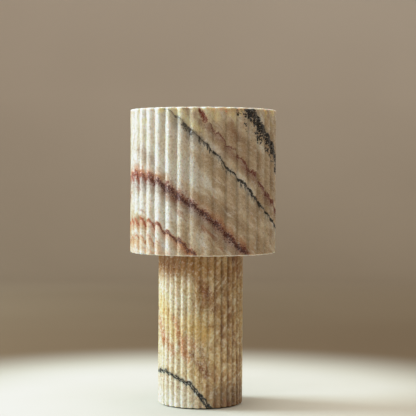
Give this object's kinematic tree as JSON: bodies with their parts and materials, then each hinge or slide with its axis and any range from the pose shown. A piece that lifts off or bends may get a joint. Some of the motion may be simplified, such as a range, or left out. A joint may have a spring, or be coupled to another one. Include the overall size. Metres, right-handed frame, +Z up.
{
  "type": "column table lamp",
  "caption": "Table lamp of two reeded stone cylinders: a narrow column carrying a wide open-topped drum that hides the lampholder and bulb.",
  "frame": {"origin": "point on the column's axis in the plane of the table, under the middle of the base pad", "axes": "+Z up along the column and drum, -Y to the front of the lamp, +X to the viewer's right from the front; the cord inlet is at +Y"},
  "size_m": [0.2028, 0.2028, 0.408],
  "materials": {
    "stone_drum": "honed, translucent cream onyx marble with dark and rust veins",
    "stone_column": "honed, translucent cream onyx marble with dark and rust veins",
    "rubber": "matt",
    "cover_steel": "black powder coat",
    "brass": "plain",
    "plated_steel": "zinc plated",
    "bushing": "moulded nylon",
    "block_plastic": "moulded polyamide",
    "holder_brass": "satin",
    "liner": "fibre sleeve",
    "porcelain": "unglazed",
    "shaft_metal": "plain",
    "knob_plastic": "moulded phenolic",
    "bulb_cap_metal": "rolled thread",
    "bulb_black": "black vitrite",
    "bulb_white": "white",
    "bulb_diffuser": "opal diffuser",
    "bulb_board": "white solder mask",
    "led": "yellow phosphor",
    "lead_live": "brown insulation",
    "lead_neutral": "blue insulation"
  },
  "bodies": {
    "stand": {"reeded_drum": "stone_drum", "reeded_column": "stone_column", "base_pad": "rubber", "clamp_gasket": "rubber", "stone_gasket": "rubber", "base_cover": "cover_steel", "cover_inserts": "brass", "lampholder_screw_shell": "brass", "lampholder_contact": "brass", "lampholder_terminals": "brass", "cover_screws": "plated_steel", "threaded_rod": "plated_steel", "base_clamp_washer": "plated_steel", "lock_washer": "plated_steel", "base_clamp_nut": "plated_steel", "drum_clamp_washer": "plated_steel", "drum_clamp_nut": "plated_steel", "terminal_screws": "plated_steel", "block_fixing_screw": "plated_steel", "lampholder_grub_screw": "plated_steel", "cord_bushing": "bushing", "terminal_block": "block_plastic", "lampholder_cap": "holder_brass", "lampholder_shell": "holder_brass", "lampholder_liner": "liner", "lampholder_core": "porcelain", "live_lead": "lead_live", "neutral_lead": "lead_neutral"},
    "knob": {"switch_shaft": "shaft_metal", "switch_knob": "knob_plastic"},
    "bulb": {"bulb_screw_cap": "bulb_cap_metal", "bulb_cap_insulator": "bulb_black", "bulb_tip_contact": "brass", "bulb_collar": "bulb_white", "bulb_globe": "bulb_diffuser", "bulb_led_board": "bulb_board", "bulb_leds": "led"}
  },
  "joints": [
    {"name": "switch_turn", "type": "hinge", "parent": "stand", "child": "knob", "pos_m": [0, -0.0266, 0.263], "axis": [0, -1, 0], "continuous": true},
    {"name": "bulb_removal", "type": "slide", "parent": "stand", "child": "bulb", "axis": [0, 0, 1], "range_m": [0, 0.15]}
  ]
}
